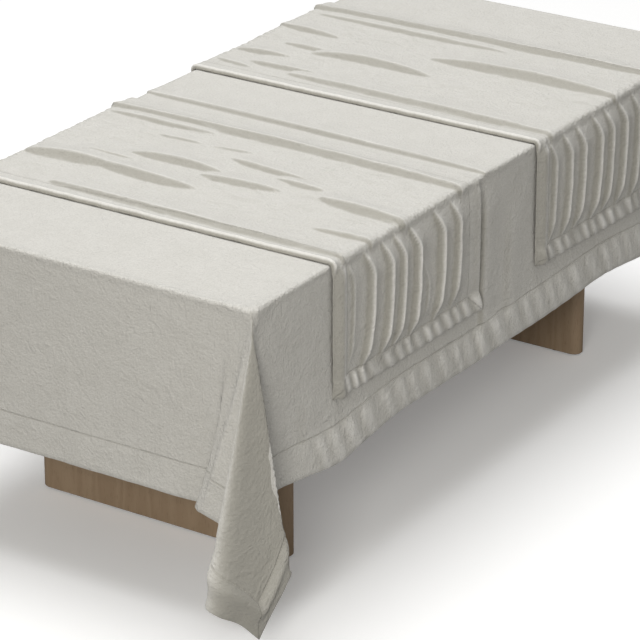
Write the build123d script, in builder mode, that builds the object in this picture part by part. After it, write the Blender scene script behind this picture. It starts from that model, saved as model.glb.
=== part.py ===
"""Oak slab-leg dining table, its hemmed tablecloth and two loose runners laid across it.

Millimetres. The origin is on the floor under the middle of the table, +X runs along the
table's length and +Z is up. "Near" is the -X end, "far" the +X end, "front" the -Y side
and "back" the +Y side.
"""

import os
from math import atan2, degrees, hypot

from build123d import *

os.makedirs("parts", exist_ok=True)

# Table
TABLE_LENGTH = 2000
TABLE_WIDTH = 950
TABLE_HEIGHT = 750
TOP_THICKNESS = 35
TOP_EDGE_RADIUS = 4
TOP_CORNER_RADIUS = 14
LEG_CENTRE = 658
LEG_WIDTH = 682
LEG_THICKNESS = 45
BATTEN_LENGTH = 640
BATTEN_WIDTH = 110
BATTEN_THICKNESS = 28
RAIL_SPACING = 400
RAIL_THICKNESS = 26
RAIL_DEPTH = 70
GLIDE_RADIUS = 14
GLIDE_HEIGHT = 4
GLIDE_OFFSET = 270

# Table hardware
BOLT_RADIUS = 4
BOLT_HEAD_RADIUS = 9
BOLT_HEAD_HEIGHT = 4
BOLT_REACH = 18
INSERT_RADIUS = 6
INSERT_LENGTH = 20
BOLT_OFFSET = 260
BOLT_SPREAD = 38
DOWEL_RADIUS = 6
DOWEL_LENGTH = 50
DOWEL_PITCH = 110
DOWEL_COUNT = 5
BRACKET_LEG = 50
BRACKET_HEIGHT = 45
BRACKET_STEEL = 3
SCREW_HEAD_RADIUS = 5
SCREW_HEAD_HEIGHT = 1.5

# Tablecloth
CLOTH = 2
CLOTH_GAP = 0.3
END_DROP = 467
SIDE_DROP = 434
HEM_WIDTH = 80
HEM_PROUD = 0.7

# Corner folds: how far each fold line runs outwards for each millimetre that it drops
FOLD_TOP_DEPTH = 50
FOLD_CLEARANCE = 0.3
FOLD_LINES = [(0.005, 0.005), (0.345, 0.045), (0.19, 0.145), (0.04, 0.18)]
FOLD_ROOT_HEIGHT = 300
FOLD_TIP_HEIGHT = 82

# Runners
RUNNER_WIDTH = 600
RUNNER_CENTRES = {"near": -414, "far": 448}
RUNNER_DROP = 312
RUNNER_HEM = 44
RUNNER_CLEARANCE = 0.6

# Worked out from the driving dimensions
TOP_UNDERSIDE = TABLE_HEIGHT - TOP_THICKNESS
LEG_HEAD = TOP_UNDERSIDE - BATTEN_THICKNESS
LEG_INSIDE = LEG_CENTRE - LEG_THICKNESS / 2
CLOTH_INSIDE_X = TABLE_LENGTH / 2 + CLOTH_GAP
CLOTH_INSIDE_Y = TABLE_WIDTH / 2 + CLOTH_GAP
CLOTH_OUTSIDE_X = CLOTH_INSIDE_X + CLOTH
CLOTH_OUTSIDE_Y = CLOTH_INSIDE_Y + CLOTH
CLOTH_UNDERSIDE = TABLE_HEIGHT + CLOTH_GAP
CLOTH_SURFACE = CLOTH_UNDERSIDE + CLOTH
RUNNER_UNDERSIDE = CLOTH_SURFACE + RUNNER_CLEARANCE
RUNNER_SURFACE = RUNNER_UNDERSIDE + CLOTH
RUNNER_INSIDE = CLOTH_OUTSIDE_Y + HEM_PROUD + RUNNER_CLEARANCE
RUNNER_OUTSIDE = RUNNER_INSIDE + CLOTH
ENDS = {"near": -1, "far": 1}
SIDES = {"front": -1, "back": 1}


def save(shape, name):
    """Labels a finished piece and writes it under its node name."""
    shape.label = name
    export_step(shape, f"parts/{name}.step")


def span(start, end):
    """Middle and length of a stretch whose two ends come in either order."""
    return (start + end) / 2, abs(end - start)


def board(x, y, z):
    """A square-edged board between two limits on each axis."""
    middle_x, length = span(*x)
    middle_y, width = span(*y)
    with BuildPart() as blank:
        with BuildSketch(Plane.XY.offset(min(z))):
            with Locations((middle_x, middle_y)):
                Rectangle(length, width)
        extrude(amount=abs(z[1] - z[0]))
    return blank.part


def round_posts(centres, radius, low, high):
    """Upright round pieces of one size, one at each centre."""
    with BuildPart() as posts:
        with BuildSketch(Plane.XY.offset(low)):
            with Locations(*centres):
                Circle(radius)
        extrude(amount=high - low)
    return posts.part


def bolt_centres(end):
    """The four batten bolts of one leg."""
    return [
        (end * LEG_CENTRE + along * BOLT_SPREAD, across * BOLT_OFFSET)
        for along in (-1, 1)
        for across in (-1, 1)
    ]


# ---------------------------------------------------------------- table top
with BuildPart() as table_top:
    with BuildSketch(Plane.XY.offset(TOP_UNDERSIDE)):
        Rectangle(TABLE_LENGTH, TABLE_WIDTH)
    extrude(amount=TOP_THICKNESS)
    fillet(table_top.edges().filter_by(Axis.Z), TOP_CORNER_RADIUS)
    fillet(table_top.faces().sort_by(Axis.Z)[-1].edges(), TOP_EDGE_RADIUS)
    for end in ENDS.values():
        with BuildSketch(Plane.XY.offset(TOP_UNDERSIDE)):
            with Locations(*bolt_centres(end)):
                Circle(INSERT_RADIUS)
        extrude(amount=INSERT_LENGTH, mode=Mode.SUBTRACT)
save(table_top.part, "table_top")


# ---------------------------------------------------------------- legs
def dowel_centres(end):
    """The row of dowels along the head of one leg panel."""
    middle = (DOWEL_COUNT - 1) / 2
    return [(end * LEG_CENTRE, (n - middle) * DOWEL_PITCH) for n in range(DOWEL_COUNT)]


for end_name, end in ENDS.items():
    with BuildPart() as leg_panel:
        with BuildSketch(Plane.XY.offset(GLIDE_HEIGHT)):
            with Locations((end * LEG_CENTRE, 0)):
                SlotOverall(LEG_WIDTH, LEG_THICKNESS, rotation=90)
        extrude(amount=LEG_HEAD - GLIDE_HEIGHT)
        chamfer(leg_panel.faces().sort_by(Axis.Z)[0].edges(), 2)
        with BuildSketch(Plane.XY.offset(LEG_HEAD - DOWEL_LENGTH / 2)):
            with Locations(*dowel_centres(end)):
                Circle(DOWEL_RADIUS)
        extrude(amount=DOWEL_LENGTH / 2, mode=Mode.SUBTRACT)
    save(leg_panel.part, f"{end_name}_leg_panel")

    with BuildPart() as head_batten:
        with BuildSketch(Plane.XY.offset(LEG_HEAD)):
            with Locations((end * LEG_CENTRE, 0)):
                Rectangle(BATTEN_WIDTH, BATTEN_LENGTH)
        extrude(amount=BATTEN_THICKNESS)
        with BuildSketch(Plane.XY.offset(LEG_HEAD)):
            with Locations(*bolt_centres(end)):
                Circle(BOLT_RADIUS)
            with Locations(*dowel_centres(end)):
                Circle(DOWEL_RADIUS)
        extrude(amount=DOWEL_LENGTH / 2, mode=Mode.SUBTRACT)
        with BuildSketch(Plane.XY.offset(LEG_HEAD)):
            with Locations(*bolt_centres(end)):
                Circle(BOLT_RADIUS)
        extrude(amount=BATTEN_THICKNESS, mode=Mode.SUBTRACT)
    save(head_batten.part, f"{end_name}_head_batten")

    dowels = round_posts(
        dowel_centres(end), DOWEL_RADIUS, LEG_HEAD - DOWEL_LENGTH / 2, LEG_HEAD + DOWEL_LENGTH / 2
    )
    save(dowels, f"{end_name}_leg_dowels")

    with BuildPart() as bolts:
        with BuildSketch(Plane.XY.offset(LEG_HEAD - BOLT_HEAD_HEIGHT)):
            with Locations(*bolt_centres(end)):
                Circle(BOLT_HEAD_RADIUS)
        extrude(amount=BOLT_HEAD_HEIGHT)
        with BuildSketch(Plane.XY.offset(LEG_HEAD)):
            with Locations(*bolt_centres(end)):
                Circle(BOLT_RADIUS)
        extrude(amount=BATTEN_THICKNESS + BOLT_REACH)
    save(bolts.part, f"{end_name}_batten_bolts")

    with BuildPart() as inserts:
        with BuildSketch(Plane.XY.offset(TOP_UNDERSIDE)):
            with Locations(*bolt_centres(end)):
                Circle(INSERT_RADIUS)
                Circle(BOLT_RADIUS, mode=Mode.SUBTRACT)
        extrude(amount=INSERT_LENGTH)
    save(inserts.part, f"{end_name}_threaded_inserts")

    glide_centres = [(end * LEG_CENTRE, across * GLIDE_OFFSET) for across in (-1, 0, 1)]
    glides = round_posts(glide_centres, GLIDE_RADIUS, 0, GLIDE_HEIGHT)
    save(glides, f"{end_name}_floor_glides")


# ---------------------------------------------------------------- rails and their brackets
for side_name, side in SIDES.items():
    rail_y = side * RAIL_SPACING / 2
    rail_faces = (rail_y - RAIL_THICKNESS / 2, rail_y + RAIL_THICKNESS / 2)
    rail = board((-LEG_INSIDE, LEG_INSIDE), rail_faces, (LEG_HEAD - RAIL_DEPTH, LEG_HEAD))
    save(rail, f"{side_name}_rail")

bracket_low = LEG_HEAD - (RAIL_DEPTH + BRACKET_HEIGHT) / 2
bracket_middle = bracket_low + BRACKET_HEIGHT / 2
rail_inner_face = RAIL_SPACING / 2 - RAIL_THICKNESS / 2
for end_name, end in ENDS.items():
    with BuildPart() as brackets:
        for side in SIDES.values():
            corner = (end * LEG_INSIDE, side * rail_inner_face)
            with BuildSketch(Plane.XY.offset(bracket_low)):
                with BuildLine():
                    Polyline(
                        corner,
                        (corner[0] - end * BRACKET_LEG, corner[1]),
                        (corner[0] - end * BRACKET_LEG, corner[1] - side * BRACKET_STEEL),
                        (corner[0] - end * BRACKET_STEEL, corner[1] - side * BRACKET_STEEL),
                        (corner[0] - end * BRACKET_STEEL, corner[1] - side * BRACKET_LEG),
                        (corner[0], corner[1] - side * BRACKET_LEG),
                        close=True,
                    )
                make_face()
            extrude(amount=BRACKET_HEIGHT)
    save(brackets.part, f"{end_name}_rail_brackets")

    with BuildPart() as screw_heads:
        for side in SIDES.values():
            for height in (-BRACKET_HEIGHT / 4, BRACKET_HEIGHT / 4):
                face_x = end * (LEG_INSIDE - BRACKET_STEEL)
                face_y = side * (rail_inner_face - BRACKET_LEG * 0.6)
                leg_face = Plane(
                    origin=(face_x, face_y, bracket_middle + height),
                    x_dir=(0, 1, 0),
                    z_dir=(-end, 0, 0),
                )
                with BuildSketch(leg_face):
                    Circle(SCREW_HEAD_RADIUS)
                extrude(amount=SCREW_HEAD_HEIGHT)
                face_x = end * (LEG_INSIDE - BRACKET_LEG * 0.6)
                face_y = side * (rail_inner_face - BRACKET_STEEL)
                rail_face = Plane(
                    origin=(face_x, face_y, bracket_middle + height),
                    x_dir=(1, 0, 0),
                    z_dir=(0, -side, 0),
                )
                with BuildSketch(rail_face):
                    Circle(SCREW_HEAD_RADIUS)
                extrude(amount=SCREW_HEAD_HEIGHT)
    save(screw_heads.part, f"{end_name}_bracket_screws")


# ---------------------------------------------------------------- tablecloth
top_panel = board(
    (-CLOTH_OUTSIDE_X, CLOTH_OUTSIDE_X),
    (-CLOTH_OUTSIDE_Y, CLOTH_OUTSIDE_Y),
    (CLOTH_UNDERSIDE, CLOTH_SURFACE),
)
save(top_panel, "tablecloth_top")

end_hem_top = CLOTH_SURFACE - END_DROP + HEM_WIDTH
side_hem_top = CLOTH_SURFACE - SIDE_DROP + HEM_WIDTH
for end_name, end in ENDS.items():
    faces = (end * CLOTH_INSIDE_X, end * CLOTH_OUTSIDE_X)
    drop = board(faces, (-CLOTH_OUTSIDE_Y, CLOTH_OUTSIDE_Y), (end_hem_top, CLOTH_UNDERSIDE))
    save(drop, f"tablecloth_{end_name}_drop")
    faces = (end * CLOTH_INSIDE_X, end * (CLOTH_OUTSIDE_X + HEM_PROUD))
    hem_low = end_hem_top - HEM_WIDTH
    hem = board(faces, (-CLOTH_OUTSIDE_Y, CLOTH_OUTSIDE_Y), (hem_low, end_hem_top))
    save(hem, f"tablecloth_{end_name}_hem")

for side_name, side in SIDES.items():
    faces = (side * CLOTH_INSIDE_Y, side * CLOTH_OUTSIDE_Y)
    drop = board((-CLOTH_INSIDE_X, CLOTH_INSIDE_X), faces, (side_hem_top, CLOTH_UNDERSIDE))
    save(drop, f"tablecloth_{side_name}_drop")
    faces = (side * CLOTH_INSIDE_Y, side * (CLOTH_OUTSIDE_Y + HEM_PROUD))
    hem_low = side_hem_top - HEM_WIDTH
    hem = board((-CLOTH_INSIDE_X, CLOTH_INSIDE_X), faces, (hem_low, side_hem_top))
    save(hem, f"tablecloth_{side_name}_hem")


# ---------------------------------------------------------------- corner folds
tip_out = FOLD_LINES[2]
tip_depth = CLOTH_SURFACE - FOLD_TIP_HEIGHT
tip_reach = hypot(tip_out[0], tip_out[1]) * tip_depth
hem_slope = degrees(atan2(FOLD_ROOT_HEIGHT - FOLD_TIP_HEIGHT, tip_reach))


def fold_section(end, side, depth):
    """The folded corner's outline at one depth below the table's edge, as a face."""
    root = (
        end * (CLOTH_OUTSIDE_X + HEM_PROUD + FOLD_CLEARANCE),
        side * (CLOTH_OUTSIDE_Y + HEM_PROUD + FOLD_CLEARANCE),
    )
    corners = [(root[0] + end * x * depth, root[1] + side * y * depth) for x, y in FOLD_LINES]
    with BuildLine(Plane.XY.offset(CLOTH_SURFACE - depth)) as outline:
        Polyline(*corners, close=True)
    return make_face(outline.edges())


def fold_shell(end, side):
    """One folded corner as a hollow tapering tail, open underneath."""
    depths = (FOLD_TOP_DEPTH, tip_depth + HEM_WIDTH)
    sections = [fold_section(end, side, depth) for depth in depths]
    with BuildPart() as shell:
        loft(sections)
        open_end = shell.faces().sort_by(Axis.Z)[0]
        offset(amount=-CLOTH, openings=open_end)
    return shell.part


def hem_plane(end, side, rise):
    """The plane of the tail's slanted lower edge, or one parallel to it."""
    out = Vector(end * tip_out[0], side * tip_out[1], 0).normalized()
    slope = Vector(0, 0, 1).rotate(Axis((0, 0, 0), out.cross(Vector(0, 0, 1))), -hem_slope)
    origin = Vector(end * CLOTH_OUTSIDE_X, side * CLOTH_OUTSIDE_Y, FOLD_ROOT_HEIGHT + rise)
    return Plane(origin=origin, z_dir=slope)


for end_name, end in ENDS.items():
    for side_name, side in SIDES.items():
        corner = f"tablecloth_{end_name}_{side_name}"
        tail = fold_shell(end, side)
        with BuildPart() as corner_fold:
            add(tail)
            split(bisect_by=hem_plane(end, side, HEM_WIDTH), keep=Keep.TOP)
        save(corner_fold.part, f"{corner}_fold")
        with BuildPart() as corner_hem:
            add(tail)
            split(bisect_by=hem_plane(end, side, HEM_WIDTH), keep=Keep.BOTTOM)
            split(bisect_by=hem_plane(end, side, 0), keep=Keep.TOP)
        save(corner_hem.part, f"{corner}_hem")


# ---------------------------------------------------------------- runners
for end_name, middle in RUNNER_CENTRES.items():
    width = (middle - RUNNER_WIDTH / 2, middle + RUNNER_WIDTH / 2)
    outside = (-RUNNER_OUTSIDE, RUNNER_OUTSIDE)
    panel = board(width, outside, (RUNNER_UNDERSIDE, RUNNER_SURFACE))
    save(panel, f"{end_name}_runner_top")
    hem_top = RUNNER_SURFACE - RUNNER_DROP + RUNNER_HEM
    for side_name, side in SIDES.items():
        faces = (side * RUNNER_INSIDE, side * RUNNER_OUTSIDE)
        drop = board(width, faces, (hem_top, RUNNER_UNDERSIDE))
        save(drop, f"{end_name}_runner_{side_name}_drop")
        faces = (side * RUNNER_INSIDE, side * (RUNNER_OUTSIDE + HEM_PROUD))
        hem = board(width, faces, (hem_top - RUNNER_HEM, hem_top))
        save(hem, f"{end_name}_runner_{side_name}_hem")
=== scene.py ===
"""An oak dining table under a linen tablecloth, with two crumpled runners laid across it."""

import logging
import math
from dataclasses import dataclass
from enum import Enum

import bpy
import numpy as np
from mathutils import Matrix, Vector, noise


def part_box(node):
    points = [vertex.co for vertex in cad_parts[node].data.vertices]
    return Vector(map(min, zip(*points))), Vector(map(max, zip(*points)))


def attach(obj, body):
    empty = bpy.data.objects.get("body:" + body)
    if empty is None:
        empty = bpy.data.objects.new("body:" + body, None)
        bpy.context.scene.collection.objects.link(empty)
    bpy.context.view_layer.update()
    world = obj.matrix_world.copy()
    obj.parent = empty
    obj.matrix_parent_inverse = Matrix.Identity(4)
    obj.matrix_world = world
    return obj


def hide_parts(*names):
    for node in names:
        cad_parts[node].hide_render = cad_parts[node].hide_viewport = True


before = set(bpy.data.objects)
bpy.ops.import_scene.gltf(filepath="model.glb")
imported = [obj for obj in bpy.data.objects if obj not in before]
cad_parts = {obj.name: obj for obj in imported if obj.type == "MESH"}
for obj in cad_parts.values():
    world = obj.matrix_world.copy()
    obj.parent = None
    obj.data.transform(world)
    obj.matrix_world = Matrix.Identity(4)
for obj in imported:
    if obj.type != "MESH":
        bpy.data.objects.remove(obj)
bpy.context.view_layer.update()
wood_low, wood_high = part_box("table_top")

LOG = logging.getLogger("dressed_table")
Array = np.ndarray
Value = bpy.types.NodeSocket | float | tuple
Colour = tuple[float, float, float, float]

# The tablecloth's outer face lies a little off the wood: past its sides, and above its top.
SIDE_GAP = 0.0023
TOP_GAP = 0.0014
HALF_LENGTH = round(wood_high[0] + SIDE_GAP, 4)
HALF_WIDTH = round(wood_high[1] + SIDE_GAP, 4)
CLOTH_TOP = round(wood_high[2] + TOP_GAP, 4)

# How strongly the highlight and shade painted into the linen's colour follow the bend and the slope
# of its relief.
BEND_TONE = 0.0035
SLOPE_TONE = 2.4


class Grain(Enum):
    """The axis that the grain of a board runs along."""

    LENGTHWAYS = (0.12, 1.0, 1.0)
    ACROSS = (1.0, 0.12, 1.0)
    UPRIGHT = (1.0, 1.0, 0.12)


# ---------------------------------------------------------------- shaping helpers


def fade(value: Array, start: float, end: float) -> Array:
    """A smooth step from 0 at start to 1 at end, which may be the lower one."""
    share = np.clip((value - start) / (end - start), 0.0, 1.0)
    return share * share * (3 - 2 * share)


def soft_noise(u: Array, v: Array, size: float, seed: float) -> Array:
    """Smooth random heights between about -1 and 1.

    Args:
        u: First flat coordinate of each point, in metres.
        v: Second flat coordinate.
        size: Distance between bumps, in metres.
        seed: Offset that gives each use its own pattern.

    Returns:
        One height for each point.
    """
    points = zip((u / size).ravel(), (v / size).ravel(), strict=True)
    heights = [noise.noise((a + seed, b - seed, seed)) for a, b in points]
    return np.array(heights).reshape(u.shape)


def crumpled(u: Array, v: Array, size: float, seed: float) -> Array:
    """Sharp little ridges between soft hollows, as pressed linen keeps them.

    Args:
        u: First flat coordinate of each point, in metres.
        v: Second flat coordinate.
        size: Distance between ridges, in metres.
        seed: Offset that gives each use its own pattern.

    Returns:
        One height for each point, from 0 to 1.
    """
    swirl = soft_noise(u, v, size * 2.2, seed + 3.1) * size * 0.9
    ridge = 1 - np.abs(soft_noise(u + swirl, v - swirl, size, seed)) * 2.4
    return np.clip(ridge, 0, 1) ** 2


def painted_light_of(lift: Array, lines: Array, wrap: Array) -> Array:
    """Highlight painted on each crest, above 0, and shade painted on each flank and hollow, below
    0.

    Args:
        lift: Height of the relief over a flat grid.
        lines: The grid lines along the first direction, which runs along the table.
        wrap: 0 where the cloth lies on the table and 1 where it hangs.

    Returns:
        One value for each grid point, from -1 to 1.
    """
    slope = np.gradient(lift, lines, axis=0)
    bend = np.clip(-np.gradient(slope, lines, axis=0) * BEND_TONE, -1, 1)
    # Painted highlight where the relief bends over a crest; painted shade where it bends into a
    # hollow and on flanks that face the near end.
    crest = np.clip(bend, 0, 1) * (0.75 + 0.25 * wrap)
    flank = np.clip(slope * SLOPE_TONE, 0, 1) * 0.92
    return np.clip(crest + 0.5 * np.clip(bend, -1, 0) - flank * (1 - crest), -1, 1)


def grid_lines(stops: list[tuple[float, float]]) -> Array:
    """Grid lines of one half of a cloth, mirrored to the whole.

    Args:
        stops: Pairs of a flat distance from the middle and the spacing used up to it.

    Returns:
        The sorted positions of all lines.
    """
    half = [0.0]
    for stop, spacing in stops:
        count = max(1, round((stop - half[-1]) / spacing))
        half.extend(np.linspace(half[-1], stop, count + 1)[1:])
    return np.array([-x for x in reversed(half[1:])] + half)


def smooth_curve(at: Array, knots: Array, values: Array) -> Array:
    """A smooth curve through several points in space.

    Args:
        at: Where the curve is wanted, on the same scale as the knots.
        knots: Rising positions of the points along the curve.
        values: The points, one row each.

    Returns:
        One point for each position asked for.
    """
    slopes = np.gradient(values, knots, axis=0)
    index = np.clip(np.searchsorted(knots, at) - 1, 0, len(knots) - 2)
    gap = knots[index + 1] - knots[index]
    share = np.clip((at - knots[index]) / gap, 0, 1)[..., None]
    gap = gap[..., None]
    square, cube = share**2, share**3
    return (
        values[index] * (2 * cube - 3 * square + 1)
        + slopes[index] * gap * (cube - 2 * square + share)
        + values[index + 1] * (3 * square - 2 * cube)
        + slopes[index + 1] * gap * (cube - square)
    )


def unit(vectors: Array) -> Array:
    """The same directions at length one."""
    return vectors / np.maximum(np.linalg.norm(vectors, axis=-1, keepdims=True), 1e-12)


def over_edge(past: Array, radius: float) -> tuple[Array, Array, Array]:
    """How cloth turns over a table's edge.

    Args:
        past: Flat distance past the edge, below 0 on the top.
        radius: Radius of the turn.

    Returns:
        The distance out from the edge line, the distance down from the top, and the tilt of
        the surface from 0 on the top to a right angle on the drop.
    """
    start = -radius * math.pi / 4
    angle = np.clip((past - start) / radius, 0, math.pi / 2)
    out = np.where(past < start, past - start - radius, -radius + radius * np.sin(angle))
    hanging = np.clip(past + start, 0, None)
    down = radius * (1 - np.cos(angle)) + hanging
    return out, down, angle


# ---------------------------------------------------------------- cloth as a grid


@dataclass
class ClothGrid:
    """The outer face of a cloth, as points over its flat cut.

    Attributes:
        u_lines: Grid lines across the first flat direction.
        v_lines: Grid lines across the second one.
        points: The place in space of each crossing.
    """

    u_lines: Array
    v_lines: Array
    points: Array

    def sample(self, u: Array, v: Array) -> Array:
        """The places in space of some flat points.

        Args:
            u: First flat coordinate of each point.
            v: Second flat coordinate.

        Returns:
            One place for each point, between the four crossings around it.
        """
        i = np.clip(np.searchsorted(self.u_lines, u) - 1, 0, len(self.u_lines) - 2)
        j = np.clip(np.searchsorted(self.v_lines, v) - 1, 0, len(self.v_lines) - 2)
        a = ((u - self.u_lines[i]) / (self.u_lines[i + 1] - self.u_lines[i]))[..., None]
        b = ((v - self.v_lines[j]) / (self.v_lines[j + 1] - self.v_lines[j]))[..., None]
        low = self.points[i, j] * (1 - a) + self.points[i + 1, j] * a
        high = self.points[i, j + 1] * (1 - a) + self.points[i + 1, j + 1] * a
        return low * (1 - b) + high * b

    def relax(self, where: Array, rounds: int) -> None:
        """Softens the cloth, as much as where says from 0 to 1.

        Args:
            where: How much each point may be softened.
            rounds: Number of times that each point moves towards its neighbours.
        """
        share = where[1:-1, 1:-1, None] * 0.5
        for _ in range(rounds):
            p = self.points
            mean = (p[:-2, 1:-1] + p[2:, 1:-1] + p[1:-1, :-2] + p[1:-1, 2:]) / 4
            p[1:-1, 1:-1] += (mean - p[1:-1, 1:-1]) * share

    def normals(self) -> Array:
        """The outward direction at each point.

        Returns:
            One unit vector for each crossing.
        """
        along = np.gradient(self.points, axis=0)
        across = np.gradient(self.points, axis=1)
        return unit(np.cross(along, across))

    def build(self, name: str, thick: Array, painted_light: Array) -> bpy.types.Object:
        """Makes the closed mesh with an outer face, an inner face and a rounded rim.

        Args:
            name: Name of the piece.
            thick: Thickness at each grid point, in metres.
            painted_light: Highlight painted on crests, above 0, and shade painted on flanks and
                hollows, below 0, kept as an attribute.

        Returns:
            The new object, with its flat coordinates in metres as its UV map.
        """
        outer = self.points
        along = unit(np.gradient(outer, axis=0))
        across = unit(np.gradient(outer, axis=1))
        inner = outer - self.normals() * thick[..., None]
        rows, columns = thick.shape
        index = np.arange(rows * columns).reshape(rows, columns)
        border = np.concatenate(
            [index[:-1, 0], index[-1, :-1], index[:0:-1, -1], index[0, :0:-1]]
        )
        outward = np.zeros_like(outer)
        outward[0] -= along[0]
        outward[-1] += along[-1]
        outward[:, 0] -= across[:, 0]
        outward[:, -1] += across[:, -1]
        flat_outer, flat_inner = outer.reshape(-1, 3), inner.reshape(-1, 3)
        rim_out = unit(outward.reshape(-1, 3)[border]) * thick.reshape(-1, 1)[border] * 0.45
        rim = (flat_outer[border] + flat_inner[border]) / 2 + rim_out
        count = rows * columns
        quads = np.stack(
            [index[:-1, :-1], index[1:, :-1], index[1:, 1:], index[:-1, 1:]], axis=-1
        ).reshape(-1, 4)
        middle = np.arange(len(border)) + 2 * count
        ahead, middle_ahead = np.roll(border, -1), np.roll(middle, -1)
        upper_rim = np.stack([ahead, border, middle, middle_ahead], axis=-1)
        lower_rim = np.stack([middle_ahead, middle, border + count, ahead + count], axis=-1)
        faces = np.concatenate([quads, quads[:, ::-1] + count, upper_rim, lower_rim])
        u, v = np.meshgrid(self.u_lines, self.v_lines, indexing="ij")
        flat = np.stack([u.ravel(), v.ravel()], axis=-1)
        flat = np.concatenate([flat, flat, flat[border]])
        vertices = np.concatenate([flat_outer, flat_inner, rim])
        piece = new_piece(name, vertices, faces, flat)
        # Painted highlight and painted shade for the linen's colour, one value for each vertex.
        mottle_and_painted_light = np.concatenate([painted_light.ravel(), painted_light.ravel(), painted_light.ravel()[border]])
        layer = piece.data.attributes.new("painted_light", "FLOAT", "POINT")
        layer.data.foreach_set("value", mottle_and_painted_light.astype(np.float32))
        return piece


def new_piece(name: str, vertices: Array, faces: Array, flat: Array) -> bpy.types.Object:
    """Makes a smooth piece from its points and faces.

    Args:
        name: Name of the piece.
        vertices: Places in space, one row each.
        faces: Four vertex numbers a row.
        flat: Flat cloth coordinates of each vertex, kept as the UV map.

    Returns:
        The new object, linked into the scene.
    """
    mesh = bpy.data.meshes.new(name)
    mesh.from_pydata(vertices.tolist(), [], faces.tolist())
    loops = np.zeros(len(mesh.loops), dtype=np.int32)
    mesh.loops.foreach_get("vertex_index", loops)
    layer = mesh.uv_layers.new(name="flat")
    layer.data.foreach_set("uv", flat[loops].astype(np.float32).ravel())
    mesh.shade_smooth()
    mesh.update()
    piece = bpy.data.objects.new(name, mesh)
    bpy.context.scene.collection.objects.link(piece)
    return piece


@dataclass(frozen=True)
class Stitching:
    """A row of thread stitches sewn round a cloth along its hem.

    Attributes:
        length: Length of one stitch in metres.
        pitch: Distance from one stitch to the next.
        radius: Radius of the thread.
    """

    length: float = 0.0036
    pitch: float = 0.0054
    radius: float = 0.00042

    def rows(self, half_u: float, half_v: float) -> tuple[Array, Array]:
        """Flat start and step of each stitch round a rectangle.

        Args:
            half_u: Half the seam rectangle's first side.
            half_v: Half its second side.

        Returns:
            The stitches' starts and their steps, one row each.
        """
        starts, steps = [], []
        for edge, run, turned in ((half_v, half_u, False), (half_u, half_v, True)):
            along = np.arange(-run + self.pitch, run - self.pitch, self.pitch)
            for side in (-edge, edge):
                across = np.full_like(along, side)
                starts.append(np.stack([across, along] if turned else [along, across], axis=-1))
                step = (0.0, self.length) if turned else (self.length, 0.0)
                steps.append(np.tile(step, (len(along), 1)))
        return np.concatenate(starts), np.concatenate(steps)

    def build(
        self, name: str, cloth: ClothGrid, half_u: float, half_v: float
    ) -> bpy.types.Object:
        """Sews stitches into a cloth along a rectangle of its flat cut.

        Args:
            name: Name of the piece.
            cloth: The cloth that the thread is sewn into.
            half_u: Half the seam rectangle's first side, in flat metres.
            half_v: Half its second side.

        Returns:
            The new object.
        """
        start, step = self.rows(half_u, half_v)
        side_step = step[:, ::-1] * (-1.0, 1.0)
        head = cloth.sample(start[:, 0], start[:, 1])
        tail = cloth.sample(start[:, 0] + step[:, 0], start[:, 1] + step[:, 1])
        beside = cloth.sample(start[:, 0] + side_step[:, 0], start[:, 1] + side_step[:, 1])
        up = unit(np.cross(unit(tail - head), unit(beside - head)))
        across = np.cross(unit(tail - head), up)
        rings = []
        for share, girth, lift in ((0, 0.4, -0.4), (0.3, 1, 0.35), (0.7, 1, 0.35), (1, 0.4, -0.4)):
            centre = head + (tail - head) * share + up * self.radius * lift
            for turn in range(4):
                angle = math.tau * (turn + 0.5) / 4
                spoke = across * math.cos(angle) + up * math.sin(angle)
                rings.append(centre + spoke * self.radius * girth)
        points = np.stack(rings, axis=1)
        faces = [[0, 1, 2, 3], [15, 14, 13, 12]]
        for low in (0, 4, 8):
            for turn in range(4):
                after = (turn + 1) % 4
                faces.append([low + after, low + turn, low + 4 + turn, low + 4 + after])
        shifts = 16 * np.arange(len(points))[:, None, None]
        all_faces = (np.array(faces)[None] + shifts).reshape(-1, 4)
        flat = np.repeat(start, 16, axis=0)
        return new_piece(name, points.reshape(-1, 3), all_faces, flat)


@dataclass(frozen=True)
class Crease:
    """A long crease in lying cloth, steep towards the near end and gentle behind.

    Attributes:
        start: One end of the crest line, as X and Y in metres.
        end: The other end.
        height: How far the crest stands proud.
        back: Width of the gentle slope behind it.
        bow: How far the middle of the line bends away from the near end.
        blunt: How slowly the crease dies away at its ends, smaller is blunter.
    """

    start: tuple[float, float]
    end: tuple[float, float]
    height: float = 0.007
    back: float = 0.045
    bow: float = 0.0
    blunt: float = 0.5

    def rise(self, x: Array, y: Array) -> Array:
        """How far each point is lifted by this crease.

        Args:
            x: Place along the table.
            y: Place across it.

        Returns:
            The height above the flat cloth.
        """
        (x0, y0), (x1, y1) = self.start, self.end
        share = (y - y0) / (y1 - y0)
        inside = np.clip(1 - (2 * share - 1) ** 2, 0, 1)
        away = x - (x0 + (x1 - x0) * share + self.bow * inside)
        crest = self.height * inside**self.blunt
        slope = np.clip(1 + away / (2.0 * crest + 0.001), 0, 1)
        front = slope**1.2
        behind = np.exp(-(np.clip(away / self.back, 0, None) ** 1.2))
        return crest * np.where(away < 0, front, behind)


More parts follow.
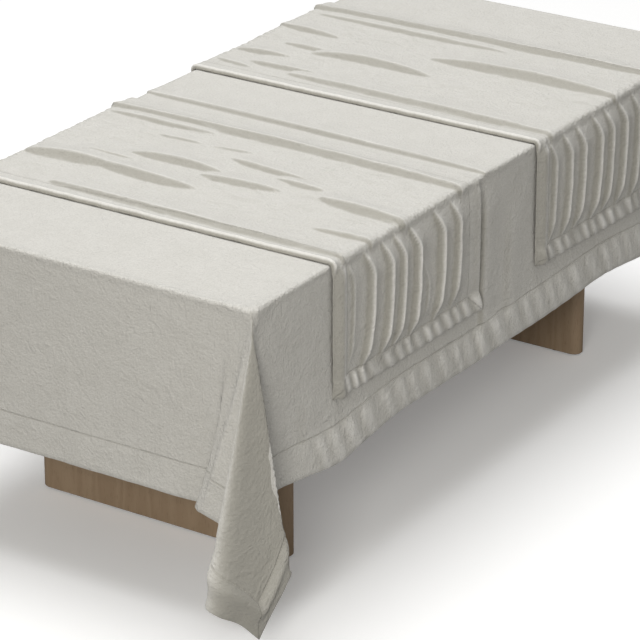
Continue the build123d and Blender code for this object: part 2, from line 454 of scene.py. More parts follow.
@dataclass(frozen=True)
class HangingFold:
    """A fold that hangs from the table's edge, with a thin crest.

    Attributes:
        at: Place along the edge.
        proud: How far the crest stands out at its fullest.
        face: Width of the steep side, towards the near end.
        back: Width of the gentle side.
        swing: How far the lower end curls towards the near end.
        low: Share of the drop at which the fold has died away.
        high: Share of the drop at which it starts.
        sway: How far nearer the fold starts than it hangs.
    """

    at: float
    proud: float = 0.018
    face: float = 0.0075
    back: float = 0.021
    swing: float = 0.03
    low: float = 0.90
    high: float = 0.0
    sway: float = 0.024

    def out(self, along: Array, share: Array) -> Array:
        """How far each point stands out.

        Args:
            along: Place along the edge.
            share: Share of the drop, 0 at the table's edge and 1 at the hem's lower edge.

        Returns:
            The distance out from the smooth drop.
        """
        opening = fade(share, self.high, self.high + 0.22)
        line = self.at - self.swing * np.clip(share / self.low, 0, 1.1) ** 4
        away = along - line + self.sway * (1 - opening)
        narrow = 0.55 + 0.45 * opening
        front = 1 / (1 + (away / (self.face * narrow)) ** 2)
        behind = 1 / (1 + np.abs(away / (self.back * narrow)) ** 1.7)
        grown = np.sqrt(opening) * (1 - fade(share, self.low - 0.2, self.low + 0.03))
        return self.proud * grown * np.where(away < 0, front, behind)


def gathers(along: Array, share: Array, period: float, slant: float, seed: float) -> Array:
    """Small gathers of a sewn hem, which open downwards from the seam.

    Args:
        along: Place along the hem in metres.
        share: 0 at the seam and 1 at the hem's edge, below 0 above the seam.
        period: Mean distance from one gather to the next.
        slant: How far a gather runs away from the near end between seam and edge.
        seed: Offset that gives each hem its own gathers.

    Returns:
        How far each point stands out, from 0 to about 1.
    """
    still = np.zeros_like(along)
    wander = soft_noise(along, still, period * 3.1, seed) * 0.8
    strength = 0.75 + 0.7 * soft_noise(along, still, period * 1.9, seed + 7)
    turn = (along - slant * share) / period + wander
    saw = turn - np.floor(turn)
    wave = np.where(saw < 0.3, fade(saw, 0.0, 0.3), fade(saw, 1.0, 0.3))
    return np.clip(strength, 0.2, 1.2) * wave * fade(share, -0.12, 0.3)


# ---------------------------------------------------------------- shader helpers


class Shader:
    """A short way to add and join the nodes of one node tree."""

    def __init__(self, tree: bpy.types.NodeTree) -> None:
        """Keeps the tree to work on."""
        self.tree = tree

    def add(self, kind: str, settings: dict | None = None, **inputs: Value) -> bpy.types.Node:
        """Adds a node.

        Args:
            kind: The node's type, without the ShaderNode in front.
            settings: Properties to set on the node.
            **inputs: Values or sockets for its inputs, with _ for a space in their names.

        Returns:
            The new node.
        """
        node = self.tree.nodes.new("ShaderNode" + kind)
        for name, value in (settings or {}).items():
            setattr(node, name, value)
        for name, value in inputs.items():
            self.feed(node.inputs[name.replace("_", " ")], value)
        return node

    def feed(self, socket: bpy.types.NodeSocket, value: Value) -> None:
        """Joins an output to a socket, or sets the socket's own value.

        Args:
            socket: The input socket.
            value: The output to join, or the value to set.
        """
        if isinstance(value, bpy.types.NodeSocket):
            self.tree.links.new(value, socket)
        else:
            socket.default_value = value

    def math(self, operation: str, *values: Value, clamp: bool = False) -> bpy.types.NodeSocket:
        """The result of a Math node.

        Args:
            operation: The node's operation.
            *values: One to three numbers or outputs.
            clamp: Whether the result is kept between 0 and 1.

        Returns:
            The node's output.
        """
        node = self.add("Math", {"operation": operation, "use_clamp": clamp})
        for socket, value in zip(node.inputs, values):
            self.feed(socket, value)
        return node.outputs[0]

    def mix(self, share: Value, first: Value, second: Value) -> bpy.types.NodeSocket:
        """Two colours mixed.

        Args:
            share: Share of the second colour.
            first: The first colour.
            second: The second colour.

        Returns:
            The mixed colour's output.
        """
        node = self.add("Mix", {"data_type": "RGBA"})
        for index, value in ((0, share), (6, first), (7, second)):
            self.feed(node.inputs[index], value)
        return node.outputs[2]

    def ramp(self, value: Value, low: float, high: float) -> bpy.types.NodeSocket:
        """A smooth step of a value.

        Args:
            value: The value to be stepped.
            low: Where the step is 0.
            high: Where it is 1.

        Returns:
            The step's output.
        """
        settings = {"interpolation_type": "SMOOTHSTEP"}
        node = self.add("MapRange", settings, Value=value, From_Min=low, From_Max=high)
        return node.outputs[0]

    def noise(self, vector: Value, scale: float, detail: float) -> bpy.types.NodeSocket:
        """The height of a noise texture."""
        return self.add("TexNoise", None, Vector=vector, Scale=scale, Detail=detail).outputs[0]

    def stretched(
        self, vector: Value, scale: tuple, place: tuple = (0.0, 0.0, 0.0)
    ) -> bpy.types.NodeSocket:
        """A vector scaled and moved by a Mapping node."""
        return self.add("Mapping", None, Vector=vector, Scale=scale, Location=place).outputs[0]


def shader_group(name: str, inputs: dict[str, float | str], outputs: list[str]) -> tuple:
    """Starts a node group with named sockets.

    Args:
        name: Name of the group.
        inputs: Each input's name with its default number, or "vector".
        outputs: Names of the outputs, all of them numbers.

    Returns:
        The group's tree, its Shader helper, its input node and its output node.
    """
    tree = bpy.data.node_groups.new(name, "ShaderNodeTree")
    for label, value in inputs.items():
        kind = "NodeSocketVector" if value == "vector" else "NodeSocketFloat"
        socket = tree.interface.new_socket(label, in_out="INPUT", socket_type=kind)
        if value != "vector":
            socket.default_value = value
    for label in outputs:
        tree.interface.new_socket(label, in_out="OUTPUT", socket_type="NodeSocketFloat")
    shader = Shader(tree)
    return tree, shader, tree.nodes.new("NodeGroupInput"), tree.nodes.new("NodeGroupOutput")


def weave_group() -> bpy.types.NodeTree:
    """Plain linen weave over flat coordinates in metres.

    Returns:
        A group that puts out the threads' height, their slubs and the cloth's blotches.
    """
    tree, s, source, result = shader_group(
        "linen_weave", {"Flat": "vector", "Pitch": 0.0011}, ["Height", "Slub", "Blotch"]
    )
    flat = source.outputs["Flat"]
    parts = s.add("SeparateXYZ", None, Vector=flat).outputs
    turn = s.math("DIVIDE", math.tau, source.outputs["Pitch"])
    warp = s.math("SINE", s.math("MULTIPLY", parts[0], turn))
    weft = s.math("SINE", s.math("MULTIPLY", parts[1], turn))
    threads = s.math("MULTIPLY", warp, weft)
    slub_u = s.noise(s.stretched(flat, (24.0, 520.0, 1.0)), 1.0, 2.0)
    slub_v = s.noise(s.stretched(flat, (520.0, 24.0, 1.0), (3.0, 7.0, 0.0)), 1.0, 2.0)
    slub = s.math("MAXIMUM", s.ramp(slub_u, 0.52, 0.74), s.ramp(slub_v, 0.52, 0.74))
    s.feed(result.inputs["Slub"], slub)
    s.feed(result.inputs["Height"], s.math("MULTIPLY_ADD", slub, 1.6, threads))
    s.feed(result.inputs["Blotch"], s.noise(flat, 14.0, 4.0))
    return tree


def crumple_group() -> bpy.types.NodeTree:
    """Fine pressed-in creases of washed linen over flat coordinates in metres.

    Returns:
        A group that puts out the creases' height.
    """
    tree, s, source, result = shader_group(
        "linen_crumple", {"Flat": "vector", "Seed": 0.0}, ["Height"]
    )
    shift = s.add("CombineXYZ", None, X=source.outputs["Seed"], Y=source.outputs["Seed"])
    moved = s.add("VectorMath", {"operation": "ADD"})
    s.feed(moved.inputs[0], source.outputs["Flat"])
    s.feed(moved.inputs[1], shift.outputs[0])
    swirl = s.add("TexNoise", None, Vector=moved.outputs[0], Scale=9.0, Detail=2.0)
    bent = s.add("VectorMath", {"operation": "MULTIPLY_ADD"})
    s.feed(bent.inputs[0], swirl.outputs["Color"])
    s.feed(bent.inputs[1], (0.09, 0.09, 0.0))
    s.feed(bent.inputs[2], moved.outputs[0])
    total = None
    for scale, weight in ((17.0, 0.55), (43.0, 0.4)):
        cells = {"feature": "DISTANCE_TO_EDGE", "voronoi_dimensions": "2D"}
        voronoi = s.add("TexVoronoi", cells, Vector=bent.outputs[0], Scale=scale, Randomness=1.0)
        ridge = s.math("SUBTRACT", 1.0, s.ramp(voronoi.outputs["Distance"], 0.0, 0.14))
        keep = s.ramp(s.noise(moved.outputs[0], scale * 0.45, 1.0), 0.54, 0.68)
        crease = s.math("MULTIPLY", s.math("MULTIPLY", ridge, keep), weight)
        total = crease if total is None else s.math("ADD", total, crease)
    settings = {"Scale": 58.0, "Detail": 4.0, "Distortion": 0.6}
    rumple = s.add("TexNoise", None, Vector=bent.outputs[0], **settings)
    s.feed(result.inputs["Height"], s.math("MULTIPLY_ADD", rumple.outputs[0], 2.0, total))
    return tree


def seam_group() -> bpy.types.NodeTree:
    """Marks of sewing and of the table's edge over flat coordinates in metres.

    Returns:
        A group that puts out the seam and mitre grooves, and the turn over the table's edge.
    """
    inputs = {"Flat": "vector", "Half U": 1.0, "Half V": 1.0, "Hem": 0.05}
    inputs |= {"Turn U": 9.0, "Turn V": 9.0}
    tree, s, source, result = shader_group("hem_marks", inputs, ["Groove", "Turn"])
    parts = s.add("SeparateXYZ", None, Vector=source.outputs["Flat"]).outputs
    inset_u = s.math("SUBTRACT", source.outputs["Half U"], s.math("ABSOLUTE", parts[0]))
    inset_v = s.math("SUBTRACT", source.outputs["Half V"], s.math("ABSOLUTE", parts[1]))
    inset = s.math("MINIMUM", inset_u, inset_v)
    from_seam = s.math("SUBTRACT", inset, source.outputs["Hem"])
    seam = s.math("SUBTRACT", 1.0, s.ramp(s.math("ABSOLUTE", from_seam), 0.0004, 0.0030))
    hem = s.ramp(from_seam, 0.0008, -0.0008)
    skew = s.math("ABSOLUTE", s.math("SUBTRACT", inset_u, inset_v))
    mitre = s.math("MULTIPLY", s.math("SUBTRACT", 1.0, s.ramp(skew, 0.0003, 0.0018)), hem)
    s.feed(result.inputs["Groove"], s.math("MAXIMUM", seam, mitre))
    turns = []
    for part, label in ((parts[0], "Turn U"), (parts[1], "Turn V")):
        past = s.math("SUBTRACT", s.math("ABSOLUTE", part), source.outputs[label])
        turns.append(s.math("SUBTRACT", 1.0, s.ramp(s.math("ABSOLUTE", past), 0.002, 0.022)))
    s.feed(result.inputs["Turn"], s.math("MAXIMUM", turns[0], turns[1]))
    return tree


def use_group(s: Shader, tree: bpy.types.NodeTree, **inputs: Value) -> bpy.types.Node:
    """Places a group in a material and feeds its inputs.

    Args:
        s: Helper of the material's tree.
        tree: The group.
        **inputs: Values or sockets for its inputs, with _ for a space in their names.

    Returns:
        The group's node.
    """
    node = s.tree.nodes.new("ShaderNodeGroup")
    node.node_tree = tree
    for name, value in inputs.items():
        s.feed(node.inputs[name.replace("_", " ")], value)
    return node


def new_material(name: str) -> tuple[bpy.types.Material, Shader, bpy.types.Node]:
    """Starts a material with its one principled shader.

    Args:
        name: Name of the material.

    Returns:
        The material, its Shader helper and its principled shader node.
    """
    material = bpy.data.materials.new(name)
    material.use_nodes = True
    tree = material.node_tree
    return material, Shader(tree), tree.nodes["Principled BSDF"]


def paint(piece: bpy.types.Object, material: bpy.types.Material) -> None:
    """Gives a piece one material."""
    piece.data.materials.clear()
    piece.data.materials.append(material)


# ---------------------------------------------------------------- finishes


@dataclass(frozen=True)
class Linen:
    """Washed linen of one cloth, with its hem.

    Attributes:
        name: Name of the finish.
        half_u: Half the cut's first side in metres.
        half_v: Half its second side.
        hem: Width of the hem.
        turn_u: Flat distance from the middle to the table's edge, along the first side.
        turn_v: The same along the second side.
        colour: Linear colour of the cloth.
        shade: Linear colour in its slubs, flecks and blotches, and of the shade painted in its seam
            and mitre grooves.
        seed: Place of its own creases in the pattern.
        crumple: Depth of the fine creases in metres.
        pale: Linear colour of the highlight painted on a crest.
        deep: Linear colour of the shade painted on a flank and in a hollow.
    """

    name: str
    half_u: float
    half_v: float
    hem: float
    turn_u: float
    turn_v: float
    colour: Colour = (0.680, 0.666, 0.628, 1.0)
    shade: Colour = (0.52, 0.505, 0.46, 1.0)
    seed: float = 0.0
    crumple: float = 0.0014
    pale: Colour = (0.98, 0.965, 0.93, 1.0)
    deep: Colour = (0.36, 0.345, 0.30, 1.0)

    def material(self, groups: dict[str, bpy.types.NodeTree]) -> bpy.types.Material:
        """Builds the material.

        Args:
            groups: The shared weave, crumple and seam groups.

        Returns:
            The material.
        """
        material, s, shader = new_material(self.name)
        flat = s.add("UVMap", {"uv_map": "flat"}).outputs[0]
        weave = use_group(s, groups["weave"], Flat=flat)
        crumple = use_group(s, groups["crumple"], Flat=flat, Seed=self.seed)
        sizes = {"Half_U": self.half_u, "Half_V": self.half_v, "Hem": self.hem}
        sizes |= {"Turn_U": self.turn_u, "Turn_V": self.turn_v}
        marks = use_group(s, groups["seam"], Flat=flat, **sizes)
        blotch = s.ramp(weave.outputs["Blotch"], 0.3, 0.7)
        fleck = s.math("MULTIPLY", s.ramp(s.noise(flat, 230.0, 2.0), 0.42, 0.66), 0.30)
        mottle_and_painted_light = s.math("MULTIPLY_ADD", weave.outputs["Slub"], 0.22, fleck)
        mottle_and_painted_light = s.math("MULTIPLY_ADD", blotch, 0.12, mottle_and_painted_light)
        # Painted shade: the seam and mitre grooves also darken the colour, besides their bump.
        groove = s.math("MULTIPLY", marks.outputs["Groove"], 0.75)
        dark = s.math("MAXIMUM", mottle_and_painted_light, groove, clamp=True)
        cloth = s.mix(dark, self.colour, self.shade)
        # Painted highlight and painted shade: the attribute read here lightens crests towards the
        # pale colour and darkens flanks and hollows towards the deep colour.
        painted_light = s.add("Attribute", {"attribute_name": "painted_light"}).outputs["Fac"]
        crest = s.math("MULTIPLY", painted_light, 1.0, clamp=True)
        hollow = s.math("MULTIPLY", painted_light, -0.8, clamp=True)
        cloth = s.mix(hollow, s.mix(crest, cloth, self.pale), self.deep)
        s.feed(shader.inputs["Base Color"], cloth)
        rough = s.math("MULTIPLY_ADD", weave.outputs["Slub"], -0.08, 0.9)
        s.feed(shader.inputs["Roughness"], rough)
        shader.inputs["Specular IOR Level"].default_value = 0.25
        shader.inputs["Sheen Weight"].default_value = 0.12
        shader.inputs["Sheen Roughness"].default_value = 0.5
        dip = s.math("MULTIPLY", marks.outputs["Groove"], -1.0)
        seam = s.add("Bump", None, Height=dip, Distance=0.0012)
        crinkle = s.math("MULTIPLY", marks.outputs["Turn"], s.noise(flat, 150.0, 2.0))
        worked = s.math("MULTIPLY_ADD", crinkle, 3.0, crumple.outputs["Height"])
        pebble = s.noise(flat, 160.0, 1.0)
        worked = s.math("MULTIPLY_ADD", pebble, 1.4, worked)
        fine = s.add("Bump", None, Height=worked, Distance=self.crumple)
        s.feed(fine.inputs["Normal"], seam.outputs[0])
        thread = s.add("Bump", None, Height=weave.outputs["Height"], Distance=0.00009)
        s.feed(thread.inputs["Normal"], fine.outputs[0])
        s.feed(shader.inputs["Normal"], thread.outputs[0])
        return material


@dataclass(frozen=True)
class Oak:
    """Oiled oak with a straight grain.

    Attributes:
        name: Name of the finish.
        grain: The axis that the grain runs along.
        light: Linear colour of the early wood.
        dark: Linear colour of the late wood and pores.
    """

    name: str
    grain: Grain
    light: Colour = (0.45, 0.33, 0.22, 1.0)
    dark: Colour = (0.28, 0.185, 0.11, 1.0)

    def material(self, grain_tree: bpy.types.NodeTree) -> bpy.types.Material:
        """Builds the material.

        Args:
            grain_tree: The shared grain group.

        Returns:
            The material.
        """
        material, s, shader = new_material(self.name)
        place = s.add("TexCoord").outputs["Object"]
        grain = use_group(s, grain_tree, Place=s.stretched(place, self.grain.value))
        tone = s.math("MULTIPLY_ADD", grain.outputs["Pores"], 0.45, grain.outputs["Rings"])
        shade = s.math("MULTIPLY", tone, 0.7)
        s.feed(shader.inputs["Base Color"], s.mix(shade, self.light, self.dark))
        rough = s.math("MULTIPLY_ADD", grain.outputs["Rings"], 0.12, 0.5)
        s.feed(shader.inputs["Roughness"], rough)
        height = s.math("MULTIPLY_ADD", grain.outputs["Pores"], -1.0, grain.outputs["Rings"])
        bump = s.add("Bump", None, Height=height, Distance=0.00025)
        s.feed(shader.inputs["Normal"], bump.outputs[0])
        return material


def grain_group() -> bpy.types.NodeTree:
    """Oak grain over coordinates already stretched along the board.

    Returns:
        A group that puts out the growth rings and the pores.
    """
    tree, s, source, result = shader_group("oak_grain", {"Place": "vector"}, ["Rings", "Pores"])
    place = source.outputs["Place"]
    sway = s.noise(place, 5.0, 2.0)
    broad = s.noise(place, 22.0, 3.0)
    bands = s.math("SINE", s.math("MULTIPLY_ADD", sway, 95.0, s.math("MULTIPLY", broad, 14.0)))
    rings = s.math("MULTIPLY_ADD", bands, 0.16, s.math("MULTIPLY", broad, 0.8), clamp=True)
    moved = s.stretched(place, (1.0, 1.0, 1.0), (2.0, 5.0, 1.0))
    pores = s.ramp(s.noise(moved, 420.0, 2.0), 0.56, 0.7)
    s.feed(result.inputs["Rings"], rings)
    s.feed(result.inputs["Pores"], pores)
    return tree


@dataclass(frozen=True)
class Metal:
    """Plated or machined metal.

    Attributes:
        name: Name of the finish.
        colour: Linear colour.
        rough: Mean roughness.
    """

    name: str
    colour: Colour
    rough: float

    def material(self) -> bpy.types.Material:
        """Builds the material, with faint cloudy stains and fine scratches.

        Returns:
            The material.
        """
        material, s, shader = new_material(self.name)
        place = s.add("TexCoord").outputs["Object"]
        cloud = s.noise(place, 90.0, 4.0)
        scratch = s.noise(s.stretched(place, (900.0, 60.0, 60.0)), 1.0, 2.0)
        darker = tuple(part * 0.6 for part in self.colour[:3]) + (1.0,)
        stain = s.math("MULTIPLY", cloud, 0.5)
        s.feed(shader.inputs["Base Color"], s.mix(stain, self.colour, darker))
        s.feed(shader.inputs["Roughness"], s.math("MULTIPLY_ADD", scratch, 0.25, self.rough))
        shader.inputs["Metallic"].default_value = 1.0
        bump = s.add("Bump", None, Height=scratch, Distance=0.00004)
        s.feed(shader.inputs["Normal"], bump.outputs[0])
        return material


@dataclass(frozen=True)
class Plain:
    """A matt finish with a fine grain, for thread and plastic.

    Attributes:
        name: Name of the finish.
        colour: Linear colour.
        rough: Roughness.
        size: Number of grains in a metre.
        depth: Depth of the grain in metres.
    """

    name: str
    colour: Colour
    rough: float
    size: float
    depth: float

    def material(self) -> bpy.types.Material:
        """Builds the material.

        Returns:
            The material.
        """
        material, s, shader = new_material(self.name)
        place = s.add("TexCoord").outputs["Object"]
        grains = s.noise(place, self.size, 2.0)
        darker = tuple(part * 0.86 for part in self.colour[:3]) + (1.0,)
        s.feed(shader.inputs["Base Color"], s.mix(grains, self.colour, darker))
        shader.inputs["Roughness"].default_value = self.rough
        shader.inputs["Specular IOR Level"].default_value = 0.2
        bump = s.add("Bump", None, Height=grains, Distance=self.depth)
        s.feed(shader.inputs["Normal"], bump.outputs[0])
        return material


# ---------------------------------------------------------------- the tablecloth


@dataclass
class Tablecloth:
    """One hemmed panel over the whole table, with a folded tail at each corner.

    Attributes:
        half_u: Half its cut length.
        half_v: Half its cut width.
        hem: Width of the hem.
        end_drop: How far it hangs at the ends.
        side_drop: How far it hangs at the long sides.
        turn: Radius of the turn over the table's edge.
        thick: Thickness of the single cloth.
        tail_slip: How much the tails stretch on the bias, as a share of their length.
        tail_curl: How far the hem at a tail's tip curls out.
        lean: How far creases lean towards the near end, as a share of their height.
        corner: Radius of the table top's corners.
        arris: Radius of its upper edges.
        clearance: Least distance from the wood to the cloth's outer face.
        corner_room: How much greater that distance is over the corners.
        gather: Depth of the gathers in the hems along the long sides.
        billow: How far the ends billow at their lower edge.
    """

    half_u: float = 1.469
    half_v: float = 0.911
    hem: float = 0.080
    end_drop: float = 0.467
    side_drop: float = 0.434
    turn: float = 0.006
    thick: float = 0.0010
    tail_slip: float = 0.06
    tail_curl: float = 0.015
    lean: float = 0.7
    corner: float = 0.014
    arris: float = 0.004
    clearance: float = 0.00125
    corner_room: float = 0.0035
    gather: float = 0.0140
    billow: float = 0.004

    # The lower edge near a corner. Each row: place along the hem past the table's corner line,
    # then how far out of the end, out of the side and down from the corner it hangs.
    END_HEM = (
        (-0.477, 0.008, -0.477, 0.467),
        (-0.36, 0.008, -0.36, 0.467),
        (-0.25, 0.007, -0.25, 0.467),
        (-0.15, 0.006, -0.152, 0.467),
        (-0.10, 0.000, -0.102, 0.466),
        (-0.078, 0.004, -0.086, 0.465),
        (-0.055, 0.022, -0.108, 0.462),
        (-0.035, 0.036, -0.126, 0.459),
        (-0.015, 0.046, -0.118, 0.461),
        (0.06, 0.050, -0.050, 0.480),
        (0.12, 0.058, 0.000, 0.500),
        (0.21, 0.115, 0.006, 0.535),
        (0.28, 0.192, 0.010, 0.572),
        (0.305, 0.212, 0.022, 0.583),
        (0.33, 0.204, 0.044, 0.597),
        (0.38, 0.152, 0.064, 0.634),
        (0.434, 0.108, 0.083, 0.684),
    )
    SIDE_HEM = (
        (-1.01, -1.01, 0.022, 0.430),
        (-0.85, -0.85, 0.020, 0.434),
        (-0.70, -0.70, 0.022, 0.430),
        (-0.53, -0.53, 0.022, 0.427),
        (-0.37, -0.37, 0.026, 0.440),
        (-0.29, -0.29, 0.028, 0.447),
        (-0.17, -0.17, 0.018, 0.438),
        (-0.08, -0.085, 0.006, 0.434),
        (-0.02, -0.03, 0.003, 0.434),
        (0.04, 0.026, 0.008, 0.442),
        (0.10, 0.068, 0.018, 0.466),
        (0.16, 0.085, 0.030, 0.492),
        (0.22, 0.056, 0.060, 0.520),
        (0.285, 0.020, 0.092, 0.552),
        (0.305, 0.014, 0.100, 0.561),
        (0.34, 0.028, 0.098, 0.585),
        (0.40, 0.062, 0.090, 0.630),
        (0.467, 0.108, 0.083, 0.684),
    )

    # Soft folds down the long sides. Each row: place along the table, how far the fold stands
    # out, and the share of the drop at which it starts.
    SIDE_FOLDS = ((-0.066, 0.008, 0.0), (0.05, 0.006, 0.2), (-0.80, 0.003, 0.5))
    # The crease that runs across the top between the two runners.
    CROSSING = Crease((-0.042, 0.50), (-0.070, -0.50), 0.0085, 0.04, 0.006, 0.25)

    def hem_place(self, past: Array, rows: tuple) -> Array:
        """Where a lower edge hangs, from the table's corner."""
        table = np.array(rows)
        return smooth_curve(past, table[:, 0], table[:, 1:])

    def quarter(self, u: Array, v: Array) -> Array:
        """The smooth hang of one quarter, for positive flat coordinates.

        Args:
            u: Flat distance from the middle along the table.
            v: Flat distance from the middle across it.

        Returns:
            The outer face's place for each flat point.
        """
        end_past, side_past = u - HALF_LENGTH, v - HALF_WIDTH
        end_out, end_down, _ = over_edge(end_past, self.turn)
        side_out, side_down, _ = over_edge(side_past, self.turn)
        end_share = np.clip(end_past / self.end_drop, 0, 1)
        side_share = np.clip(side_past / self.side_drop, 0, 1)
        share = np.maximum(end_share, side_share)
        safe = np.maximum(share, 1e-6)
        corner = (end_past > 0) & (side_past > 0)
        on_end = end_share >= side_share
        along_end = np.where(corner, side_past / safe, side_past)
        along_side = np.where(corner, end_past / safe, end_past)
        end_reach = np.clip(along_end, self.END_HEM[0][0], self.side_drop)
        side_reach = np.clip(along_side, self.SIDE_HEM[0][0], self.end_drop)
        end_edge = self.hem_place(end_reach, self.END_HEM)
        side_edge = self.hem_place(side_reach, self.SIDE_HEM)
        edge = np.where(on_end[..., None], end_edge, side_edge)
        middle = fade(np.minimum(end_share, side_share) / safe, 0.35, 0.95)
        slip = middle * self.tail_slip * fade(share, 0.0, 0.82) * fade(share, 1.0, 0.83)
        x = HALF_LENGTH + edge[..., 0] * (share + slip)
        y = HALF_WIDTH + edge[..., 1] * (share + slip)
        down = edge[..., 2] * (share + slip)
        tail = np.stack([x, y, CLOTH_TOP - down], axis=-1)
        bend = share**4
        end_x = HALF_LENGTH + end_out + end_edge[..., 0] * bend
        end_y = v + (end_edge[..., 1] - side_past) * end_share
        end_z = CLOTH_TOP - end_down - (end_edge[..., 2] - self.end_drop) * end_share
        side_x = u + (side_edge[..., 0] - end_past) * side_share
        side_y = HALF_WIDTH + side_out + side_edge[..., 1] * bend
        side_z = CLOTH_TOP - side_down - (side_edge[..., 2] - self.side_drop) * side_share
        end_face = np.stack([end_x, end_y, end_z], axis=-1)
        side_face = np.stack([side_x, side_y, side_z], axis=-1)
        flat_x = np.where(end_past > -0.02, HALF_LENGTH + end_out, u)
        flat_y = np.where(side_past > -0.02, HALF_WIDTH + side_out, v)
        flat_top = np.stack([flat_x, flat_y, CLOTH_TOP - end_down - side_down], axis=-1)
        ends = (end_past > 0) & ~corner
        sides = (side_past > 0) & ~corner
        place = np.where(ends[..., None], end_face, flat_top)
        place = np.where(sides[..., None], side_face, place)
        return np.where(corner[..., None], tail, place)

    def hem_wave(self, u: Array, v: Array) -> Array:
        """The gathers of the hems along the long sides.

        Args:
            u: Flat distance from the middle along the table, with its sign.
            v: The same across it.

        Returns:
            How far each point stands out, from 0 to about 1.
        """
        seam = HALF_WIDTH + self.side_drop - self.hem
        in_hem = (np.abs(v) - seam) / self.hem
        along = u + np.where(v > 0, 40.0, 0.0)
        broad = gathers(along, in_hem, 0.062, 0.026, 4.0)
        fine = gathers(along, in_hem, 0.033, 0.022, 9.0)
        return (0.8 * broad + 0.25 * fine) * fade(HALF_LENGTH - np.abs(u), 0.15, 0.26)

    def tail_painted_light(self, past_u: Array, past_v: Array) -> Array:
        """The highlight and shade painted on the folded corner.

        Args:
            past_u: Flat distance past the table's end.
            past_v: Flat distance past its long side.

        Returns:
            One value for each point, above 0 where highlight is painted on the ridges and the hem,
            and below 0 where shade is painted on the front ply.
        """
        end_share, side_share = past_u / self.end_drop, past_v / self.side_drop
        safe = np.maximum(np.maximum(end_share, side_share), 1e-3)
        on_end = end_share >= side_share
        along_end, along_side = past_v / safe, past_u / safe
        front = np.where(on_end, fade(along_end, 0.27, 0.33), fade(along_side, 0.290, 0.310))
        left = np.where(on_end, np.exp(-(((along_end - 0.300) / 0.022) ** 2)), 0)
        right = np.where(on_end, 0, np.exp(-(((along_side - 0.298) / 0.008) ** 2)))
        right_hem = np.where(on_end, 0, fade(side_share, 0.81, 0.83)) * fade(along_side, 0.31, 0.33)
        # Painted shade darkens the tail's front ply; painted highlight lightens its two ridges and
        # the hem to their right.
        tone = 0.5 * left + 1.2 * right + 0.15 * right_hem - 0.95 * front
        return tone * fade(np.minimum(past_u, past_v), 0.0, 0.010)

    def relief(self, u: Array, v: Array) -> Array:
        """How far each flat point stands out from the smooth hang.

        Args:
            u: Flat distance from the middle along the table, with its sign.
            v: The same across it.

        Returns:
            The distance out.
        """
        end_past, side_past = np.abs(u) - HALF_LENGTH, np.abs(v) - HALF_WIDTH
        side_share = np.clip(side_past / self.side_drop, 0, 1)
        end_share = np.clip(end_past / self.end_drop, 0, 1)
        on_side = fade(side_past, 0.0, 0.03) * (end_past < 0) * fade(end_past, 0.0, -0.05)
        on_end = fade(end_past, 0.0, 0.03) * (side_past < 0) * fade(side_past, 0.0, -0.05)
        on_top = (side_past < 0) & (end_past < 0)
        # Sides and ends that face each other don't share a pattern.
        apart = np.where(v > 0, 40.0, 0.0) + np.where(u > 0, 11.0, 0.0)
        seam = 1 - self.hem / self.side_drop
        in_hem = (side_share - seam) / (1 - seam)
        lift = self.gather * self.hem_wave(u, v) * fade(in_hem, 1.2, 0.5)
        for crest, proud, start in self.SIDE_FOLDS:
            away = u - crest + 0.03 * side_share**2
            shape = np.where(away < 0, fade(away, -0.03, 0.0), np.exp(-((away / 0.05) ** 2)))
            grown = fade(side_share, start, start + 0.25) * fade(side_share, 0.98, 0.78)
            lift += proud * shape * grown
        lift += 0.0012 * soft_noise(u + apart, v, 0.12, 2.0) * fade(side_share, 0.55, 0.9)
        lift *= on_side
        seam = 1 - self.hem / self.end_drop
        in_hem = (end_share - seam) / (1 - seam)
        billow = soft_noise(v + apart, u, 0.21, 5.0) * self.billow * end_share
        billow += 0.0018 * gathers(v + apart, in_hem, 0.11, 0.02, 6.0)
        lift += billow * on_end
        lift += self.CROSSING.rise(u, v) * on_top
        lift += np.where(on_top, 0.00035 * soft_noise(u, v, 0.09, 1.0), 0.0)
        return lift + 0.0005 * crumpled(u, v, 0.055, 3.0) * np.maximum(on_side, on_end)

    def drape(self) -> tuple[ClothGrid, Array]:
        """Lays the cloth over the table.

        Returns:
            The cloth, and the highlight or shade painted at each of its points.
        """
        u_stops = [(0.93, 0.0135), (0.985, 0.009), (1.018, 0.0047), (1.385, 0.0095)]
        v_stops = [(0.42, 0.0140), (0.462, 0.009), (0.492, 0.0047), (0.827, 0.0092)]
        u_lines = grid_lines([*u_stops, (1.393, 0.004), (self.half_u, 0.0094)])
        u_lines = np.union1d(u_lines, np.arange(-0.118, -0.030, 0.0045))
        v_lines = grid_lines([*v_stops, (0.835, 0.004), (self.half_v, 0.0094)])
        u, v = np.meshgrid(u_lines, v_lines, indexing="ij")
        points = self.quarter(np.abs(u), np.abs(v))
        points[..., 0] *= np.where(u < 0, -1, 1)
        points[..., 1] *= np.where(v < 0, -1, 1)
        cloth = ClothGrid(u_lines, v_lines, points)
        past_u, past_v = np.abs(u) - HALF_LENGTH, np.abs(v) - HALF_WIDTH
        tail = fade(np.minimum(past_u, past_v), -0.05, 0.01)
        cloth.relax(tail, 4)
        apex = fade(np.hypot(past_u, past_v), 0.10, 0.02)
        cloth.relax(apex, 14)
        lift = self.relief(u, v)
        cloth.points += cloth.normals() * lift[..., None]
        cloth.points[..., 0] -= self.lean * lift * fade(past_u, 0.0, -0.08)
        end_share, side_share = past_u / self.end_drop, past_v / self.side_drop
        share = np.maximum(end_share, side_share)
        middle = fade(np.minimum(end_share, side_share) / np.maximum(share, 1e-6), 0.45, 0.9)
        curl = self.tail_curl * middle * np.exp(-(((share - 0.88) / 0.05) ** 2))
        crumple = 0.0011 * crumpled(u, v, 0.06, 8.0) + 0.003 * soft_noise(u, v, 0.16, 6.0)
